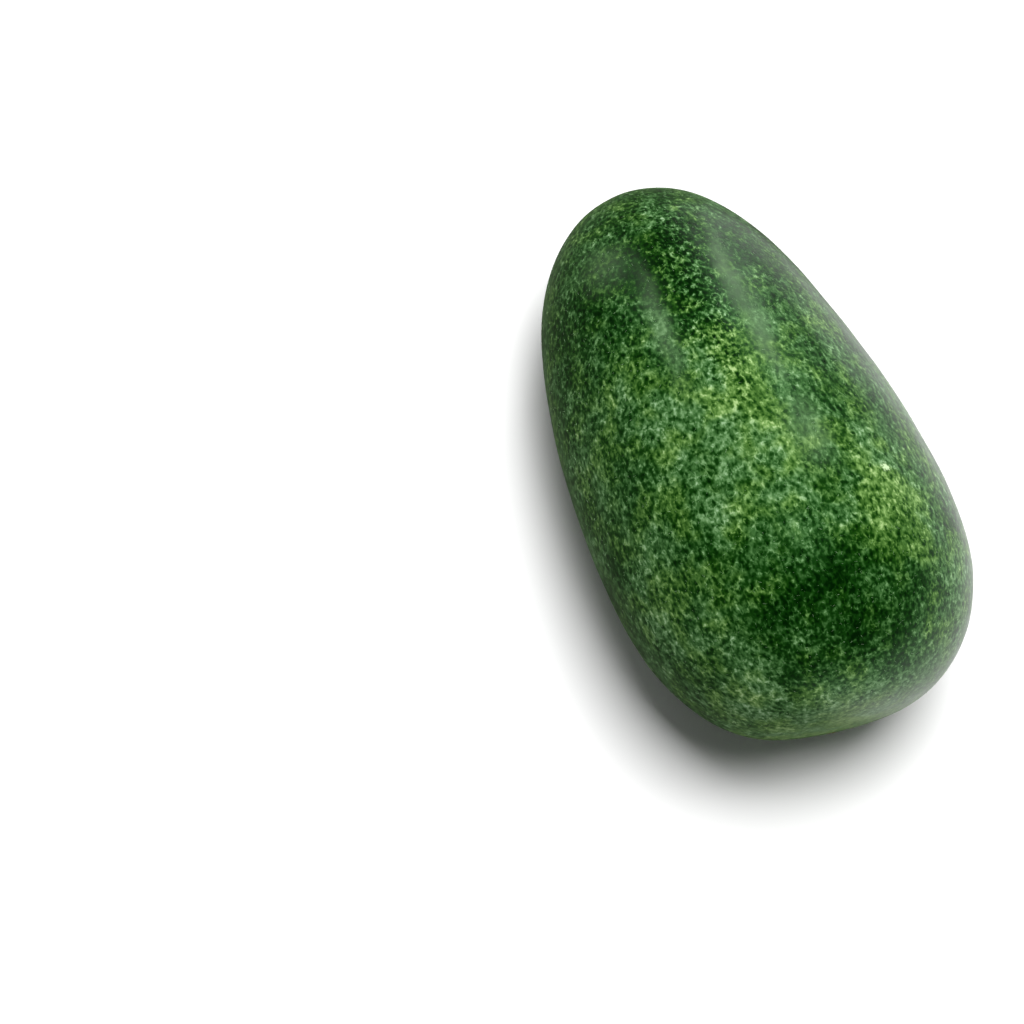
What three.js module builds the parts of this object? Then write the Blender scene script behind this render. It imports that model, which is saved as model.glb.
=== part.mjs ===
// A whole winter melon (wax gourd), as picked, lying on its side on a table.
// It grew as one piece, so it is one closed body. Lengths are in millimetres and +Z is up.
// +X runs along the fruit from the stem end to the blossom end. The origin is on the table,
// under the middle of the fruit.
import * as THREE from "three";

// Size of the fruit before it settles on its belly.
const LENGTH = 340; // from the stem end to the blossom end
const WIDTH = 192; // side to side, at the fullest section
const HEIGHT = 187; // belly to back, at the fullest section

// Outline along the fruit: an ellipse that swells towards the blossom end.
const TAPER = 0.372; // how much fuller the blossom end is than the stem end
const BLUNTNESS = 1.0; // how much fuller both ends are than an ellipse's

// How the fruit grew away from a round, straight form.
const BOW = 3.5; // sideways bend of the middle, towards -Y
const LOBES = { count: 3, share: 0.006, turn: 0.6 }; // the three seed chambers, felt through the rind
const RIDGES = { count: 8, share: 0.006, turn: 0.4 }; // low ribs that fan out from the stem

// The hollow at each end, with its centre off the fruit's own axis in Y and Z.
const STEM_HOLLOW = { depth: 6, radius: 16, offY: 2, offZ: -6 };
const BLOSSOM_HOLLOW = { depth: 8, radius: 38, offY: -20, offZ: -14 };

// How the fruit lies: the narrow stem end sinks, and the belly is flat where it pressed on the ground.
const DROOP = THREE.MathUtils.degToRad(4.6);
const BELLY_FLAT = 4.2; // depth of fruit that the flat takes off the round belly
const BELLY_BLEND = 1.6; // height over which the flat turns into the round flank

// Fineness of the surface.
const RINGS = 44;
const AROUND = 60;

// Half of the outline as (radius, place along the fruit), from the stem end to the blossom end.
// Both are shares: the place runs from -0.5 to 0.5, and the fullest radius is 1.
function outline() {
  const points = [];
  for (let i = 0; i <= RINGS; i++) {
    const turn = (Math.PI * i) / RINGS;
    const place = -Math.cos(turn) / 2;
    const ellipse = i % RINGS === 0 ? 0 : Math.sin(turn);
    points.push(new THREE.Vector2(ellipse * (1 + TAPER * place + BLUNTNESS * place ** 2), place));
  }
  const fullest = Math.max(...points.map((point) => point.x));
  for (const point of points) point.x /= fullest;
  return points;
}

// Share by which the lobes and ribs raise the skin at this angle round the fruit.
// The ribs fade out towards the blossom end, and both vanish at the very ends.
function relief(angle, place, radius) {
  const lobes = LOBES.share * Math.cos(LOBES.count * angle + LOBES.turn);
  const fade = (0.5 - place) ** 2;
  const ridges = RIDGES.share * fade * Math.cos(RIDGES.count * angle + RIDGES.turn);
  return (lobes + ridges) * Math.min(1, 2 * radius);
}

// Depth of an end hollow at a point (y, z) of the end.
function hollowDepth(hollow, y, z) {
  const squared = (y - hollow.offY) ** 2 + (z - hollow.offZ) ** 2;
  return hollow.depth * Math.exp(-squared / hollow.radius ** 2);
}

// Height once the belly has flattened: 0 below the blend, unchanged above it, smooth between.
function settled(height) {
  if (height <= -BELLY_BLEND) return 0;
  if (height >= BELLY_BLEND) return height;
  return (height + BELLY_BLEND) ** 2 / (4 * BELLY_BLEND);
}

// Moves a vertex of the plain spun form, in shares, to where the fruit's skin is.
function grow(vertex) {
  const place = vertex.x;
  const radius = Math.hypot(vertex.y, vertex.z);
  const swell = 1 + relief(Math.atan2(vertex.z, vertex.y), place, radius);
  vertex.x *= LENGTH;
  vertex.y *= (WIDTH / 2) * swell;
  vertex.z *= (HEIGHT / 2) * swell;
  if (place < 0) vertex.x += hollowDepth(STEM_HOLLOW, vertex.y, vertex.z);
  else vertex.x -= hollowDepth(BLOSSOM_HOLLOW, vertex.y, vertex.z);
  vertex.y -= BOW * Math.cos(Math.PI * place);
  return vertex;
}

function buildFruit() {
  const geometry = new THREE.LatheGeometry(outline(), AROUND);
  geometry.rotateZ(-Math.PI / 2); // the lathe's axis is Y, and the fruit's is X
  const skin = geometry.getAttribute("position");
  const vertex = new THREE.Vector3();
  for (let i = 0; i < skin.count; i++) {
    grow(vertex.fromBufferAttribute(skin, i));
    skin.setXYZ(i, vertex.x, vertex.y, vertex.z);
  }
  geometry.rotateY(-DROOP);

  // Set it down so that the flat takes BELLY_FLAT off the lowest point, over the origin.
  geometry.computeBoundingBox();
  geometry.translate(0, 0, -geometry.boundingBox.min.z - BELLY_FLAT);
  for (let i = 0; i < skin.count; i++) skin.setZ(i, settled(skin.getZ(i)));
  geometry.computeBoundingBox();
  const middle = geometry.boundingBox.getCenter(new THREE.Vector3());
  geometry.translate(-middle.x, -middle.y, 0);
  geometry.computeVertexNormals();
  return geometry;
}

const rind = new THREE.MeshStandardMaterial({ color: 0x35602a, roughness: 0.45, metalness: 0 });

const fruit = new THREE.Mesh(buildFruit(), rind);
fruit.name = "winter_melon";

const winterMelon = new THREE.Group();
winterMelon.add(fruit);

export default winterMelon;
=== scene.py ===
import bmesh
import bpy
import math
import random
from mathutils import Matrix, Vector, noise
from mathutils.bvhtree import BVHTree


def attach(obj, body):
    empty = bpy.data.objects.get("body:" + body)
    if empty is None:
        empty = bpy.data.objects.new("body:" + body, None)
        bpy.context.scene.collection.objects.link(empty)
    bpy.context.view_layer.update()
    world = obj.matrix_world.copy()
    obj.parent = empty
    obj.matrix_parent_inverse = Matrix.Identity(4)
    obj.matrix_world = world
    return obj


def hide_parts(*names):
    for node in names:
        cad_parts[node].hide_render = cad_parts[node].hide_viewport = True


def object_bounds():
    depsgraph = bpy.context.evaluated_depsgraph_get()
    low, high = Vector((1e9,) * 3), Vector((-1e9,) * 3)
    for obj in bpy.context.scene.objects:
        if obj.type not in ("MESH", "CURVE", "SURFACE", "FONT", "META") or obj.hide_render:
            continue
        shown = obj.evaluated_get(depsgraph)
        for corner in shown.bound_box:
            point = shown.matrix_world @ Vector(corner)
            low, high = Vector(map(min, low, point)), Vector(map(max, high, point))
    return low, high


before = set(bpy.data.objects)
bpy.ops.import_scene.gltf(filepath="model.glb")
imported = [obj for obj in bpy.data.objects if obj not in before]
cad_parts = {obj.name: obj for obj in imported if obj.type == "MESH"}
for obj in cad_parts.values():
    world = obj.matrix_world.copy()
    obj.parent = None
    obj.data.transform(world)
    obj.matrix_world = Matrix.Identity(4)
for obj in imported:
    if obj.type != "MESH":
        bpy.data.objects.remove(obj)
cad_low, cad_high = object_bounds()

# ---------------------------------------------------------------------------------------------
# The camera looks down on the melon from above its blossom end. It stands to one side, so the
# melon lies right of the view's middle.
CAMERA_ROUND = math.radians(67.0)
CAMERA_ABOVE = math.radians(72.0)
CAMERA_AWAY = 1.25
CAMERA_LEFT_OF_MELON = 0.1228
CAMERA_BELOW_MELON = 0.0335
LENS = 79.6
MELON_MIDDLE = Vector((0, 0, 0.09))

to_camera = Vector((
    math.sin(CAMERA_ROUND) * math.cos(CAMERA_ABOVE),
    -math.cos(CAMERA_ROUND) * math.cos(CAMERA_ABOVE),
    math.sin(CAMERA_ABOVE),
))
view_right = Vector((math.cos(CAMERA_ROUND), math.sin(CAMERA_ROUND), 0))
view_up = to_camera.cross(view_right)

camera = bpy.data.objects.new("camera", bpy.data.cameras.new("camera"))
camera.data.lens = LENS
camera.data.sensor_width = 36
camera.location = (
    MELON_MIDDLE
    + to_camera * CAMERA_AWAY
    - view_right * CAMERA_LEFT_OF_MELON
    - view_up * CAMERA_BELOW_MELON
)
camera.rotation_euler = to_camera.to_track_quat("Z", "Y").to_euler()
bpy.context.scene.collection.objects.link(camera)
bpy.context.scene.camera = camera

# ---------------------------------------------------------------------------------------------
# The melon's skin. The fruit grew in one piece: fat at the blossom end, narrower at the stem end,
# with a hollow at each end and a belly that is flat where it pressed on the ground.
LENGTH = 0.340
WIDTH = 0.192
HEIGHT = 0.187
TAPER = 0.372
BLUNTNESS = 1.0
BOW = 0.0035
DROOP = math.radians(4.6)
LOBES = 3
LOBE_SHARE = 0.006
LOBE_TURN = 0.6
RIBS = 8
RIB_SHARE = 0.006
RIB_TURN = 0.4
SWELL_SHARE = 0.007
SWELL_FINENESS = 5
DENT_SHARE = 0.003
DENT_FINENESS = 13
BELLY_FLAT = 0.0042
BELLY_BLEND = 0.0016
STEM_HOLLOW = {"depth": 0.006, "radius": 0.016, "off_y": 0.002, "off_z": -0.006}
STEM_FOLDS = {
    "off_y": 0.002, "off_z": -0.006, "count": 10, "depth": 0.0008, "ring": 0.014, "reach": 0.008,
}
BLOSSOM_HOLLOW = {"depth": 0.008, "radius": 0.038, "off_y": -0.020, "off_z": -0.014}
BLOSSOM_FOLDS = {
    "off_y": -0.012, "off_z": -0.049, "count": 7, "depth": 0.0003, "ring": 0.007, "reach": 0.005,
}
SCAR_SEAT = 0.012
SKIN_AROUND = 384
SKIN_RINGS = 250


def swelling(place):
    """How full the fruit is at a place from -0.5, the stem end, to 0.5, the blossom end."""
    return 1 + TAPER * place + BLUNTNESS * place**2


quarter_degrees = [math.radians(i / 4) for i in range(720)]
FULLEST = max(math.sin(turn) * swelling(-math.cos(turn) / 2) for turn in quarter_degrees)


def hollow_depth(hollow, y, z):
    squared = (y - hollow["off_y"]) ** 2 + (z - hollow["off_z"]) ** 2
    return hollow["depth"] * math.exp(-squared / hollow["radius"] ** 2)


def puckers(folds, y, z):
    """How far the small folds round a scar draw the skin in."""
    y -= folds["off_y"]
    z -= folds["off_z"]
    away = (math.hypot(y, z) - folds["ring"]) / folds["reach"]
    wander = 2 * noise.noise(Vector((y, z, 0)) * 90)
    return folds["depth"] * math.cos(folds["count"] * math.atan2(z, y) + wander) * math.exp(-away**2)


def relief(angle, place, radius):
    """The share by which the three seed chambers and eight faint ribs raise the skin."""
    lobes = LOBE_SHARE * math.cos(LOBES * angle + LOBE_TURN)
    ribs = RIB_SHARE * (0.5 - place) ** 2 * math.cos(RIBS * angle + RIB_TURN)
    return (lobes + ribs) * min(1, 2 * radius)


def unevenness(ball_point):
    """The share by which slow swells and smaller dents of the rind raise the skin."""
    swells = SWELL_SHARE * noise.noise(ball_point * SWELL_FINENESS)
    dents = DENT_SHARE * noise.noise(ball_point * DENT_FINENESS)
    return swells + dents


def grown(ball_point):
    """Where the skin is, for a point on a ball of diameter 1."""
    place, y, z = ball_point
    fullness = 2 * swelling(place) / FULLEST
    radius = math.hypot(y, z) * fullness
    swell = fullness * (1 + relief(math.atan2(z, y), place, radius) + unevenness(ball_point))
    x = place * LENGTH
    y *= WIDTH / 2 * swell
    z *= HEIGHT / 2 * swell
    if place < 0:
        x += hollow_depth(STEM_HOLLOW, y, z) + puckers(STEM_FOLDS, y, z)
    else:
        x -= hollow_depth(BLOSSOM_HOLLOW, y, z) + puckers(BLOSSOM_FOLDS, y, z)
    return Vector((x, y - BOW * math.cos(math.pi * place), z))


def settled(height):
    """Height above the table once the belly has flattened."""
    if height <= -BELLY_BLEND:
        return 0
    if height >= BELLY_BLEND:
        return height
    return (height + BELLY_BLEND) ** 2 / (4 * BELLY_BLEND)


def new_piece(name, bm):
    """Makes an object of a finished bmesh, smooth, with its place in its mesh."""
    mesh = bpy.data.meshes.new(name)
    bm.to_mesh(mesh)
    mesh.shade_smooth()
    piece = bpy.data.objects.new(name, mesh)
    bpy.context.scene.collection.objects.link(piece)
    return piece


def put_in_order(bm):
    """Sorts the faces of a new ball, which the operator lists in another order in each run."""
    bm.verts.index_update()
    count = len(bm.verts)
    bm.faces.sort(key=lambda face: face.verts[0].index * count + face.verts[1].index)


skin_bm = bmesh.new()
bmesh.ops.create_uvsphere(
    skin_bm, u_segments=SKIN_AROUND, v_segments=SKIN_RINGS, radius=0.5,
    matrix=Matrix.Rotation(math.radians(90), 4, "Y"),
)
put_in_order(skin_bm)
for vert in skin_bm.verts:
    vert.co = grown(vert.co)
lean = Matrix.Rotation(-DROOP, 3, "Y")
bmesh.ops.rotate(skin_bm, verts=skin_bm.verts, matrix=lean)
lift = -BELLY_FLAT - min(vert.co.z for vert in skin_bm.verts)
for vert in skin_bm.verts:
    vert.co.z = settled(vert.co.z + lift)
xs = [vert.co.x for vert in skin_bm.verts]
ys = [vert.co.y for vert in skin_bm.verts]
cad_middle = (cad_low + cad_high) / 2
along = cad_middle.x - (min(xs) + max(xs)) / 2
across = cad_middle.y - (min(ys) + max(ys)) / 2
bmesh.ops.translate(skin_bm, verts=skin_bm.verts, vec=(along, across, cad_low.z))
bmesh.ops.recalc_face_normals(skin_bm, faces=skin_bm.faces)
skin_tree = BVHTree.FromBMesh(skin_bm)


def skin_at_end(end, folds):
    """The skin at the middle of an end's folds, and its outward direction. end is -1 at the stem."""
    start = lean @ Vector((end * LENGTH, folds["off_y"], folds["off_z"]))
    start += Vector((along, across, lift))
    middle = skin_tree.ray_cast(start, lean @ Vector((-end, 0, 0)))[0]
    nearby = skin_tree.find_nearest_range(middle, SCAR_SEAT)
    outward = sum((normal for place, normal, face, away in nearby), Vector()).normalized()
    return middle, outward


stem_middle, stem_outward = skin_at_end(-1, STEM_FOLDS)
blossom_middle, blossom_outward = skin_at_end(1, BLOSSOM_FOLDS)
skin = new_piece("melon_skin", skin_bm)
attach(skin, "root")
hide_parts("winter_melon")


def add_node(tree, kind, inputs=None, **settings):
    """Adds a shader node. An input is a value or another node's output."""
    node = tree.nodes.new(kind)
    for name, value in settings.items():
        setattr(node, name, value)
    for name, value in (inputs or {}).items():
        if isinstance(value, bpy.types.NodeSocket):
            tree.links.new(value, node.inputs[name])
        else:
            node.inputs[name].default_value = value
    return node


def math_node(tree, operation, *values):
    node = tree.nodes.new("ShaderNodeMath")
    node.operation = operation
    for i, value in enumerate(values):
        if isinstance(value, bpy.types.NodeSocket):
            tree.links.new(value, node.inputs[i])
        else:
            node.inputs[i].default_value = value
    return node.outputs[0]


def rise(tree, value, start, end):
    """0 at start and before it, 1 at end and past it, smooth between."""
    node = add_node(
        tree, "ShaderNodeMapRange", {"Value": value, "From Min": start, "From Max": end},
        interpolation_type="SMOOTHSTEP",
    )
    return node.outputs["Result"]


def blend_colour(tree, share, first, second):
    node = tree.nodes.new("ShaderNodeMix")
    node.data_type = "RGBA"
    for socket, value in ((node.inputs[0], share), (node.inputs[6], first), (node.inputs[7], second)):
        if isinstance(value, bpy.types.NodeSocket):
            tree.links.new(value, socket)
        else:
            socket.default_value = value
    return node.outputs[2]


def noise_of(tree, place, scale, detail, roughness, output="Fac"):
    node = add_node(
        tree, "ShaderNodeTexNoise",
        {"Vector": place, "Scale": scale, "Detail": detail, "Roughness": roughness},
    )
    return node.outputs[output]


def wandered(tree, place, scale, reach, detail=2.0):
    """The place, shifted at random by up to about half of reach."""
    drift = noise_of(tree, place, scale, detail, 0.6, "Color")
    centred = add_node(
        tree, "ShaderNodeVectorMath", {0: drift, 1: (0.5, 0.5, 0.5)}, operation="SUBTRACT"
    ).outputs["Vector"]
    return add_node(
        tree, "ShaderNodeVectorMath", {0: centred, 1: (reach, reach, reach), 2: place},
        operation="MULTIPLY_ADD",
    ).outputs["Vector"]


def patch(tree, place, centre, reach):
    """1 at the centre of an oval patch, falling smoothly to 0 at its reach along X, Y and Z."""
    away = add_node(
        tree, "ShaderNodeVectorMath", {0: place, 1: centre}, operation="SUBTRACT"
    ).outputs["Vector"]
    share = add_node(
        tree, "ShaderNodeVectorMath", {0: away, 1: reach}, operation="DIVIDE"
    ).outputs["Vector"]
    far = add_node(tree, "ShaderNodeVectorMath", {0: share}, operation="LENGTH").outputs["Value"]
    return rise(tree, far, 1.0, 0.0)


def greatest(tree, first, *others):
    """The greatest of some masks."""
    for other in others:
        first = math_node(tree, "MAXIMUM", first, other)
    return first


def summed(tree, *terms):
    """The sum of plain numbers and of (value, weight) pairs, each value times its weight."""
    total = sum(term for term in terms if not isinstance(term, tuple))
    for value, weight in (term for term in terms if isinstance(term, tuple)):
        total = math_node(tree, "MULTIPLY_ADD", value, weight, total)
    return total


def colour_ramp(tree, value, stops):
    node = tree.nodes.new("ShaderNodeValToRGB")
    tree.links.new(value, node.inputs["Fac"])
    elements = node.color_ramp.elements
    while len(elements) < len(stops):
        elements.new(0.5)
    for element, (position, colour) in zip(elements, stops):
        element.position = position
        element.color = (*colour, 1)
    return node.outputs["Color"]


# From the darkest spots to the palest strokes, where the rind is bluish and where it is yellowish.
COOL_GREENS = (
    (0.0, (0.0002, 0.008, 0.0001)),
    (0.25, (0.0040, 0.033, 0.0022)),
    (0.5, (0.041, 0.116, 0.030)),
    (0.75, (0.125, 0.245, 0.100)),
    (1.0, (0.27, 0.42, 0.24)),
)
WARM_GREENS = (
    (0.0, (0.0003, 0.009, 0.0001)),
    (0.25, (0.0055, 0.038, 0.0017)),
    (0.5, (0.052, 0.130, 0.022)),
    (0.75, (0.147, 0.27, 0.073)),
    (1.0, (0.31, 0.45, 0.18)),
)
# The grey of the waxy bloom, which also paints sheen and the floor's reflection.
BLOOM_AND_SHEEN_GREY = (0.16, 0.23, 0.14, 1)
HALO_GREEN = (0.17, 0.25, 0.075, 1)
BELLY_OLIVE = (0.20, 0.27, 0.05, 1)
BELLY_CREAM = (0.62, 0.60, 0.24, 1)
FLESH = (0.48, 0.64, 0.36, 1)
RIND_TINT = (0.35, 0.75, 0.35, 1)

# The rind's pattern is laid out in millimetres, and its mottling a little drawn out along X.
MILLIMETRES = 1000
DRAWN_OUT = (800, 1060, 1060)

# Ovals on the rind: the middle of each and its reach along X, Y and Z. A halo lies round its
# scar's middle, so it is a reach alone.
# Painted light: the rind is painted paler in these areas, standing for light that falls there.
PAINTED_LIGHT_AREAS = (
    ((15, -8, 175), (60, 62, 60)),
    ((65, 48, 150), (60, 30, 60)),
    ((140, -62, 138), (36, 40, 44)),
)
YELLOW_AREAS = (
    ((82, 44, 168), (50, 28, 60)),
    ((-8, 2, 174), (50, 26, 60)),
)
# Painted shade: the rind is painted darker in this area, where the fruit turns away from the light.
PAINTED_SHADE_AREA = ((118, -8, 163), (57, 70, 80))
STEM_HALF = ((-82, 0, 120), (92, 110, 90))
# Painted light: the blossom end is painted paler, warmer and less mottled, for light thrown up from
# the pale floor.
PAINTED_BOUNCE_LIGHT_AREA = ((172, -26, 76), (62, 106, 92))
BELLY = ((15, 0, -6), (120, 66, 34))
NICK = ((61, 49, 170.5), (5, 3.2, 8))
STEM_HALO = (26, 26, 26)
BLOSSOM_HALO = (11, 11, 11)

# The dark streak and the bands of bloom run along the fruit, turned a little to one side; the bands
# are partly waxy bloom and partly painted sheen. The last number of a patch of bloom is its weight.
BAND_TURN = math.radians(8.5)
STREAK = ((-62, -7, 155), (112, 21, 80))
BLOOM_AND_SHEEN_BANDS = (
    ((-80, 12, 154), (50, 8, 60), 1.0),
    ((-36, 18, 166), (46, 9, 60), 0.8),
    ((28, 22, 160), (34, 20, 60), 0.7),
    ((-57, -31, 160), (62, 9, 60), 0.6),
    ((-105, -50, 150), (26, 22, 60), 0.6),
)
# A painted reflection of the pale floor along the lower side of the blossom end, veiled grey like the
# bloom.
BLOSSOM_PAINTED_REFLECTION = ((160, 34, 100), (30, 60, 50), 0.5)


def mottling(tree, place, drawn, clouds):
    """Dark spots that run together, and short pale strokes between them."""
    spots = add_node(
        tree, "ShaderNodeTexVoronoi",
        {"Vector": wandered(tree, drawn, 0.35, 3.5), "Scale": 0.30},
        feature="F1",
    )
    own = add_node(tree, "ShaderNodeSeparateColor", {"Color": spots.outputs["Color"]}).outputs["Red"]
    net = add_node(
        tree, "ShaderNodeTexVoronoi",
        {"Vector": wandered(tree, drawn, 0.30, 5.0, 3.0), "Scale": 0.24},
        feature="DISTANCE_TO_EDGE",
    )
    strokes = math_node(
        tree, "MULTIPLY",
        rise(tree, net.outputs["Distance"], 0.13, 0.0),
        rise(tree, noise_of(tree, place, 0.30, 1.0, 0.5), 0.48, 0.60),
    )
    blots = noise_of(tree, drawn, 0.45, 1.0, 0.5)
    grit = noise_of(tree, drawn, 1.1, 1.0, 0.5)
    return summed(
        tree, -2.1, (spots.outputs["Distance"], 0.9), (own, 0.3), (strokes, 0.6), (blots, 2.0),
        (clouds, 0.55), (grit, 0.45),
    )


# Bands of waxy bloom that are partly painted sheen, and a painted reflection of the floor on the
# blossom end.
def waxy_bloom_and_sheen(tree, loose, slanted):
    bands = [(patch(tree, slanted, *oval), weight) for *oval, weight in BLOOM_AND_SHEEN_BANDS]
    *oval, weight = BLOSSOM_PAINTED_REFLECTION
    return summed(tree, 0.0, *bands, (patch(tree, loose, *oval), weight))


def rind_greens(tree, place, loose, mottle):
    """The rind's colour, how pale it is, and its bloom and painted sheen.

    The mottling varies over the fruit: there are paler areas of painted light, a darker area of
    painted shade, a blossom end painted paler for light from below, a dark streak along the top where
    it is strongest, and beside that bands of waxy bloom and painted sheen that veil it in grey.
    """
    slanted = add_node(
        tree, "ShaderNodeMapping",
        {"Vector": wandered(tree, place, 0.05, 14.0, 3.0), "Rotation": (0, 0, BAND_TURN)},
    ).outputs["Vector"]
    slow = noise_of(tree, place, 0.035, 2.0, 0.5)
    pale = greatest(tree, *(patch(tree, loose, *oval) for oval in PAINTED_LIGHT_AREAS))
    yellow = greatest(tree, *(patch(tree, loose, *oval) for oval in YELLOW_AREAS))
    # The dark area is painted shade.
    dark = patch(tree, loose, *PAINTED_SHADE_AREA)
    stem_half = patch(tree, loose, *STEM_HALF)
    painted_bounce_light = patch(tree, loose, *PAINTED_BOUNCE_LIGHT_AREA)
    streak = rise(tree, patch(tree, slanted, *STREAK), 0.0, 0.6)
    bloom_and_sheen = waxy_bloom_and_sheen(tree, loose, slanted)
    # Painted light and shade: the pale areas and the blossom end make the rind paler, the dark area
    # darker.
    cover = summed(
        tree, 0.07, (slow, 0.6), (pale, 0.16), (dark, -0.30), (stem_half, -0.28),
        (painted_bounce_light, 0.38), (streak, -0.01), (bloom_and_sheen, 0.06),
    )
    strength = summed(
        tree, 0.34, (slow, 0.25), (streak, 0.26), (bloom_and_sheen, -0.24), (painted_bounce_light, -0.12), (dark, -0.08),
    )
    tone = math_node(tree, "MULTIPLY_ADD", mottle, strength, cover)
    warmth = summed(
        tree, 0.0, (noise_of(tree, place, 0.06, 2.0, 0.5), 1.0), (yellow, 0.3), (dark, -0.12),
        (painted_bounce_light, 0.15),
    )
    greens = blend_colour(
        tree, rise(tree, warmth, 0.40, 0.66),
        colour_ramp(tree, tone, COOL_GREENS), colour_ramp(tree, tone, WARM_GREENS),
    )
    # Where the bands lie the greens are veiled in grey, partly waxy bloom and partly painted sheen.
    veil = math_node(tree, "MULTIPLY", bloom_and_sheen, 0.35)
    return blend_colour(tree, veil, greens, BLOOM_AND_SHEEN_GREY), tone, bloom_and_sheen


def with_marks(tree, place, loose, clouds, tone, colour):
    """The colour with the paler rind round the scars, the ground patch and the nick."""
    stem_place = wandered(tree, place, 0.12, 14.0, 3.0)
    blossom_place = wandered(tree, place, 0.2, 6.0, 3.0)
    halo = greatest(
        tree,
        patch(tree, stem_place, stem_middle * MILLIMETRES, STEM_HALO),
        patch(tree, blossom_place, blossom_middle * MILLIMETRES, BLOSSOM_HALO),
    )
    haloed = blend_colour(tree, math_node(tree, "MULTIPLY", halo, 0.75), colour, HALO_GREEN)
    belly = math_node(tree, "MULTIPLY", patch(tree, loose, *BELLY), 0.8)
    belly_tone = summed(tree, 0.1, (clouds, 0.5), (tone, 0.5))
    belly_colour = blend_colour(tree, belly_tone, BELLY_OLIVE, BELLY_CREAM)
    grounded = blend_colour(tree, belly, haloed, belly_colour)
    ragged = wandered(tree, place, 0.55, 7.0, 3.0)
    nick = rise(tree, patch(tree, ragged, *NICK), 0.25, 0.7)
    return blend_colour(tree, nick, grounded, FLESH)


def rind_material():
    material = bpy.data.materials.new("rind")
    material.use_nodes = True
    tree = material.node_tree
    in_metres = add_node(tree, "ShaderNodeTexCoord").outputs["Object"]
    place = add_node(
        tree, "ShaderNodeMapping", {"Vector": in_metres, "Scale": (MILLIMETRES,) * 3}
    ).outputs["Vector"]
    drawn = add_node(
        tree, "ShaderNodeMapping", {"Vector": in_metres, "Scale": DRAWN_OUT}
    ).outputs["Vector"]
    loose = wandered(tree, place, 0.03, 30.0)
    clouds = noise_of(tree, place, 0.14, 2.0, 0.6)
    mottle = mottling(tree, place, drawn, clouds)
    greens, tone, bloom_and_sheen = rind_greens(tree, place, loose, mottle)
    colour = with_marks(tree, place, loose, clouds, tone, greens)
    roughness = summed(tree, 0.22, (clouds, 0.2), (bloom_and_sheen, 0.06))
    pores = noise_of(tree, place, 0.7, 2.0, 0.6)
    bump = add_node(tree, "ShaderNodeBump", {"Height": pores, "Strength": 0.25, "Distance": 0.0003})
    shader = tree.nodes["Principled BSDF"]
    tree.links.new(colour, shader.inputs["Base Color"])
    tree.links.new(roughness, shader.inputs["Roughness"])
    tree.links.new(bump.outputs["Normal"], shader.inputs["Normal"])
    shader.inputs["Specular IOR Level"].default_value = 0.40
    shader.inputs["Specular Tint"].default_value = RIND_TINT
    return material


skin.data.materials.append(rind_material())


# ---------------------------------------------------------------------------------------------
# The stem scar is the corky button that is left where the five-cornered stalk broke away. It has
# a thick rim round a shallow fibrous crater, and sits at the bottom of the stem hollow.
STEM_SCAR_RADIUS = 0.0105
THINNEST_CORK = 0.0003
SCAR_ROOT = 0.0012
CORNER_SHARE = 0.04
RAGGED_SHARE = 0.06
ROUGH_SHARE = 0.25
GRAIN_SHARE = 0.3
SCAR_AROUND = 96
SCAR_RINGS = 40


def scar(name, middle, outward, radius, corners, crown):
    """A closed button laid on the skin. crown gives its height at a share of its radius."""
    bm = bmesh.new()
    bmesh.ops.create_uvsphere(bm, u_segments=SCAR_AROUND, v_segments=SCAR_RINGS, radius=1)
    put_in_order(bm)
    facing = outward.to_track_quat("Z", "Y")
    for vert in bm.verts:
        share = math.hypot(vert.co.x, vert.co.y)
        angle = math.atan2(vert.co.y, vert.co.x)
        rough = noise.noise(Vector((vert.co.x, vert.co.y, 0)) * 4 + middle * 100)
        reach = radius * (1 + CORNER_SHARE * math.cos(corners * angle) + RAGGED_SHARE * rough)
        above = facing @ Vector((vert.co.x * reach, vert.co.y * reach, 0.01)) + middle
        foot, normal = skin_tree.ray_cast(above, -outward)[:2]
        if vert.co.z > 0:
            grain = noise.noise(Vector((3 * share, 7 * math.cos(angle), 7 * math.sin(angle))))
            height = crown(share) * (1 + ROUGH_SHARE * rough + GRAIN_SHARE * grain)
        else:
            height = -SCAR_ROOT
        vert.co = foot + normal * height
    bmesh.ops.recalc_face_normals(bm, faces=bm.faces)
    piece = new_piece(name, bm)
    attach(piece, "root")
    return piece


def ring(share, height, at, spread):
    """The height of a soft ring of cork round a scar's middle, at a share of the scar's radius."""
    return height * math.exp(-(((share - at) / spread) ** 2))


def stem_crown(share):
    rim = ring(share, height=0.0030, at=0.72, spread=0.15)
    sunk_edge = 0.0012 * share**8
    return rim + THINNEST_CORK - sunk_edge


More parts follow.
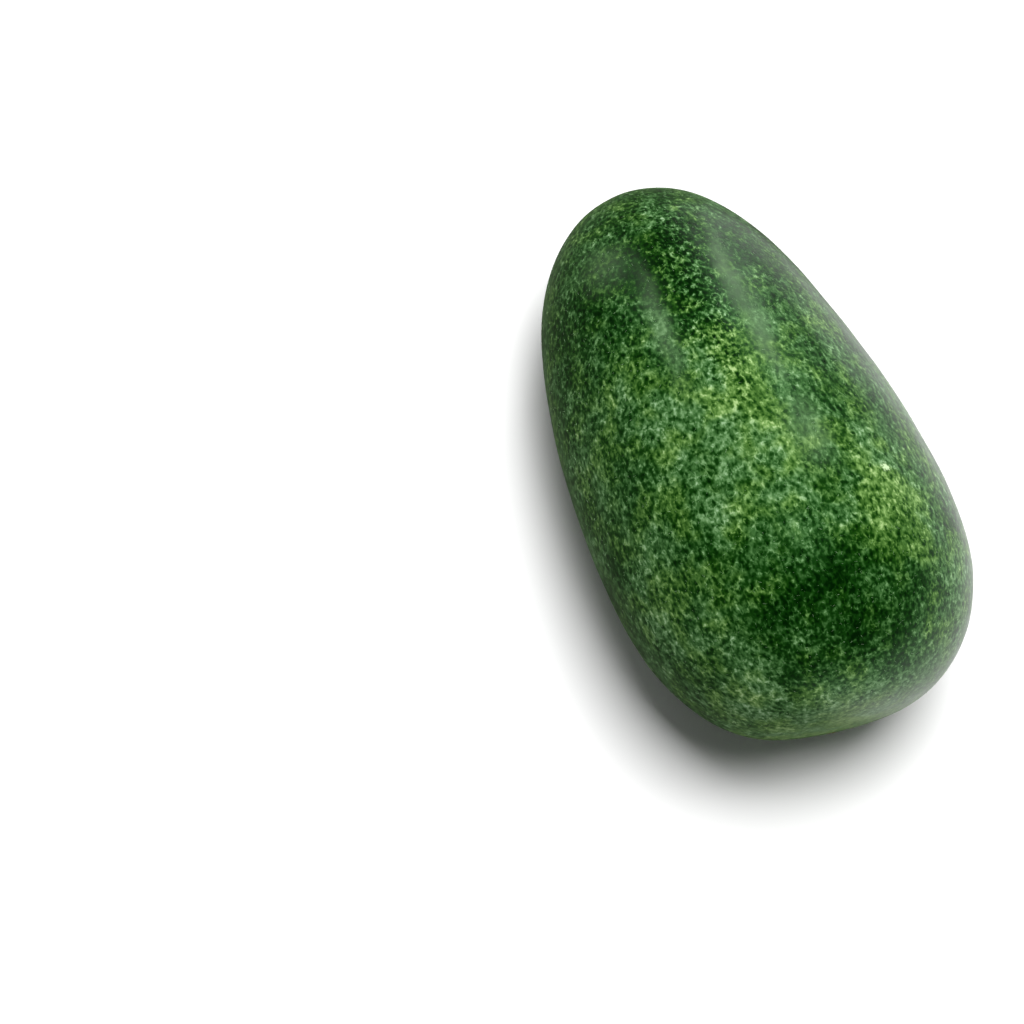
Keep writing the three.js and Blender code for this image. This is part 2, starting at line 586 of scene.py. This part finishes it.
def cork_pattern():
    """Dry cork, darker in its cracks and with painted shade in the hollow middle: the effect that
    both scars use.
    """
    group = bpy.data.node_groups.new("dry cork", "ShaderNodeTree")
    for name, kind in (
        ("Place", "NodeSocketVector"),
        ("Middle", "NodeSocketVector"),
        ("Radius", "NodeSocketFloat"),
        ("Pale", "NodeSocketColor"),
        ("Dark", "NodeSocketColor"),
    ):
        group.interface.new_socket(name, in_out="INPUT", socket_type=kind)
    group.interface.new_socket("Colour", in_out="OUTPUT", socket_type="NodeSocketColor")
    group.interface.new_socket("Fibres", in_out="OUTPUT", socket_type="NodeSocketFloat")
    given = group.nodes.new("NodeGroupInput").outputs
    away = add_node(
        group, "ShaderNodeVectorMath", {0: given["Place"], 1: given["Middle"]}, operation="DISTANCE"
    ).outputs["Value"]
    # Painted shade: the cork is darker towards the hollow middle.
    rim = rise(group, math_node(group, "DIVIDE", away, given["Radius"]), 0.30, 0.75)
    fibres = noise_of(group, given["Place"], 420, 4.0, 0.6)
    grains = noise_of(group, given["Place"], 1500, 2.0, 0.5)
    share = rise(group, summed(group, -0.09, (fibres, 0.65), (grains, 0.35), (rim, 0.16)), 0.38, 0.62)
    colour = blend_colour(group, share, given["Dark"], given["Pale"])
    add_node(group, "NodeGroupOutput", {"Colour": colour, "Fibres": fibres})
    return group


dry_cork = cork_pattern()


def cork_material(name, middle, radius, pale, dark):
    material = bpy.data.materials.new(name)
    material.use_nodes = True
    tree = material.node_tree
    place = add_node(tree, "ShaderNodeTexCoord").outputs["Object"]
    cork = add_node(
        tree, "ShaderNodeGroup",
        {"Place": place, "Middle": middle, "Radius": radius, "Pale": (*pale, 1), "Dark": (*dark, 1)},
        node_tree=dry_cork,
    ).outputs
    bump = add_node(
        tree, "ShaderNodeBump", {"Height": cork["Fibres"], "Strength": 0.8, "Distance": 0.0008}
    )
    shader = tree.nodes["Principled BSDF"]
    tree.links.new(cork["Colour"], shader.inputs["Base Color"])
    tree.links.new(bump.outputs["Normal"], shader.inputs["Normal"])
    shader.inputs["Roughness"].default_value = 0.85
    shader.inputs["Specular IOR Level"].default_value = 0.25
    return material


stem_scar = scar("stem_scar", stem_middle, stem_outward, STEM_SCAR_RADIUS, 5, stem_crown)
stem_scar.data.materials.append(cork_material(
    "stem cork", stem_middle, STEM_SCAR_RADIUS, pale=(0.40, 0.36, 0.21), dark=(0.070, 0.055, 0.028),
))

# ---------------------------------------------------------------------------------------------
# The blossom scar is the small dry ring where the flower fell off, with a nub in its middle. It
# is cork too, and lies low on the fat end with fine folds of the skin round it.
BLOSSOM_SCAR_RADIUS = 0.0045


def blossom_crown(share):
    rim = ring(share, height=0.0006, at=0.78, spread=0.13)
    nub = ring(share, height=0.0010, at=0, spread=0.2)
    sunk_edge = 0.0006 * share**8
    return rim + nub + THINNEST_CORK - sunk_edge


blossom_scar = scar(
    "blossom_scar", blossom_middle, blossom_outward, BLOSSOM_SCAR_RADIUS, 7, blossom_crown
)
blossom_scar.data.materials.append(cork_material(
    "blossom cork", blossom_middle, BLOSSOM_SCAR_RADIUS,
    pale=(0.27, 0.23, 0.12), dark=(0.045, 0.034, 0.017),
))

# ---------------------------------------------------------------------------------------------
# Bristles are the stiff pale hairs that a young fruit has all over and a ripe one has thinly.
# Each leans close to the skin and tapers to a point. Most are about a millimetre long, and the
# few that are twice as long are twice as thick. The lower side has rubbed most of them off, and
# the belly all.
SHORTEST_BRISTLE = 0.0007
LONGEST_BRISTLE = 0.0022
BRISTLE_SLIMNESS = 12
BRISTLE_DOUBLINGS = 13
BRISTLE_LEAN_DEGREES = (60, 80)
RUBBED_BELOW = 0.02
BARE_BELOW = 0.003
SHARE_LEFT_WHERE_RUBBED = 0.15
BRISTLE_GREEN = (0.36, 0.56, 0.31, 1)
dice = random.Random(41)
hairs_bm = bmesh.new()
# One hair of length 1, with its foot just under the skin.
bmesh.ops.create_cone(
    hairs_bm, cap_ends=True, segments=3, radius1=0.5 / BRISTLE_SLIMNESS, radius2=0, depth=1,
    matrix=Matrix.Translation((0, 0, 0.46)),
)
for _ in range(BRISTLE_DOUBLINGS):
    bmesh.ops.duplicate(hairs_bm, geom=hairs_bm.verts[:] + hairs_bm.edges[:] + hairs_bm.faces[:])
tips = [vert for vert in hairs_bm.verts if vert.co.z > 0.5]
skin.data.calc_loop_triangles()
triangles = [
    triangle for triangle in skin.data.loop_triangles
    if triangle.center.z > RUBBED_BELOW
    or (triangle.center.z > BARE_BELOW and dice.random() < SHARE_LEFT_WHERE_RUBBED)
]
roots = dice.choices(triangles, weights=[triangle.area for triangle in triangles], k=len(tips))
for tip, root in zip(tips, roots):
    share_a, share_b = sorted((dice.random(), dice.random()))
    corner_a, corner_b, corner_c = (skin.data.vertices[i].co for i in root.vertices)
    foot = corner_a * share_a + corner_b * (share_b - share_a) + corner_c * (1 - share_b)
    upright = root.normal.to_track_quat("Z", "Y").to_matrix()
    swing = Matrix.Rotation(dice.uniform(0, 2 * math.pi), 3, "Z")
    tilt = Matrix.Rotation(math.radians(dice.uniform(*BRISTLE_LEAN_DEGREES)), 3, "X")
    length = SHORTEST_BRISTLE + (LONGEST_BRISTLE - SHORTEST_BRISTLE) * dice.random() ** 3
    for vert in [tip] + [edge.other_vert(tip) for edge in tip.link_edges]:
        vert.co = foot + upright @ swing @ tilt @ vert.co * length
bmesh.ops.recalc_face_normals(hairs_bm, faces=hairs_bm.faces)
bristles = new_piece("bristles", hairs_bm)
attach(bristles, "root")
hair_material = bpy.data.materials.new("pale bristle")
hair_material.use_nodes = True
hair_shader = hair_material.node_tree.nodes["Principled BSDF"]
hair_shader.inputs["Base Color"].default_value = BRISTLE_GREEN
hair_shader.inputs["Roughness"].default_value = 0.6
bristles.data.materials.append(hair_material)

# ---------------------------------------------------------------------------------------------
# The floor is a wide pale sheet. Far from the melon it glows, so that it meets the bright background
# unseen. Left of the melon the floor is painted dark, but only where the shiny rind mirrors it: a
# painted dark reflection, as if other fruit stood there.
FLOOR_RADIUS = 8.0
PALE_SHEET = (0.9, 0.9, 0.9, 1)
PAINTED_DARK_REFLECTION = (0.10, 0.14, 0.08, 1)
GLOW = 1.2
GLOW_STARTS = 0.2
GLOW_IS_FULL = 2.2
DARK_FADES = 0.06
DARK_ENDS = 0.14
floor_bm = bmesh.new()
bmesh.ops.create_circle(floor_bm, cap_ends=True, segments=96, radius=FLOOR_RADIUS)
floor = new_piece("floor", floor_bm)
floor_material = bpy.data.materials.new("floor")
floor_material.use_nodes = True
floor_tree = floor_material.node_tree
floor_shader = floor_tree.nodes["Principled BSDF"]
floor_shader.inputs["Roughness"].default_value = 0.4
floor_place = add_node(floor_tree, "ShaderNodeTexCoord").outputs["Object"]
far = add_node(
    floor_tree, "ShaderNodeVectorMath", {0: floor_place}, operation="LENGTH"
).outputs["Value"]
glow = math_node(floor_tree, "MULTIPLY", rise(floor_tree, far, GLOW_STARTS, GLOW_IS_FULL), GLOW)
floor_tree.links.new(glow, floor_shader.inputs["Emission Strength"])
to_right = add_node(
    floor_tree, "ShaderNodeVectorMath", {0: floor_place, 1: view_right}, operation="DOT_PRODUCT"
).outputs["Value"]
on_left = rise(floor_tree, to_right, DARK_ENDS, DARK_FADES)
# Painted dark reflection: glossy rays see the floor dark left of the melon.
in_rind = add_node(floor_tree, "ShaderNodeLightPath").outputs["Is Glossy Ray"]
shade = math_node(floor_tree, "MULTIPLY", in_rind, on_left)
floor_colour = blend_colour(floor_tree, shade, PALE_SHEET, PAINTED_DARK_REFLECTION)
floor_tree.links.new(floor_colour, floor_shader.inputs["Base Color"])
floor_tree.links.new(floor_colour, floor_shader.inputs["Emission Color"])
floor.data.materials.append(floor_material)

# ---------------------------------------------------------------------------------------------
# Behind the melon the room looks white, but it lights the melon only a little and hardly shows in
# the shiny rind. Soft boxes give the rest of the light.
ROOM_SEEN = 1.0
ROOM_LIGHT = 0.11
ROOM_IN_RIND = 0.03
world = bpy.data.worlds.new("studio")
world.use_nodes = True
bpy.context.scene.world = world
sky = world.node_tree
background = sky.nodes["Background"]
background.inputs["Color"].default_value = (1, 1, 1, 1)
ray = add_node(sky, "ShaderNodeLightPath").outputs
room_strength = summed(
    sky, ROOM_LIGHT,
    (ray["Is Camera Ray"], ROOM_SEEN - ROOM_LIGHT), (ray["Is Glossy Ray"], ROOM_IN_RIND - ROOM_LIGHT),
)
sky.links.new(room_strength, background.inputs["Strength"])


def soft_box(name, towards, away, width, height, power, mirrored=True):
    """A lamp that stands in this direction from the melon and faces it.

    mirrored is whether the shiny rind shows it.
    """
    lamp = bpy.data.lights.new(name, "AREA")
    lamp.shape = "RECTANGLE"
    lamp.size = width
    lamp.size_y = height
    lamp.energy = power
    box = bpy.data.objects.new(name, lamp)
    box.location = MELON_MIDDLE + towards.normalized() * away
    box.rotation_euler = towards.to_track_quat("Z", "Y").to_euler()
    box.visible_camera = False
    box.visible_glossy = mirrored
    bpy.context.scene.collection.objects.link(box)


soft_box(
    "overhead", Vector((-0.05, 0.12, 0.99)), away=2.3, width=1.1, height=1.1, power=79, mirrored=False
)
soft_box("right_box", Vector((-0.64, 0.60, 0.36)), away=2.2, width=0.36, height=1.6, power=9)
soft_box("left_box", Vector((-0.85, -0.22, 0.50)), away=2.2, width=0.25, height=1.2, power=2.5)

bpy.context.scene.view_settings.view_transform = "Standard"
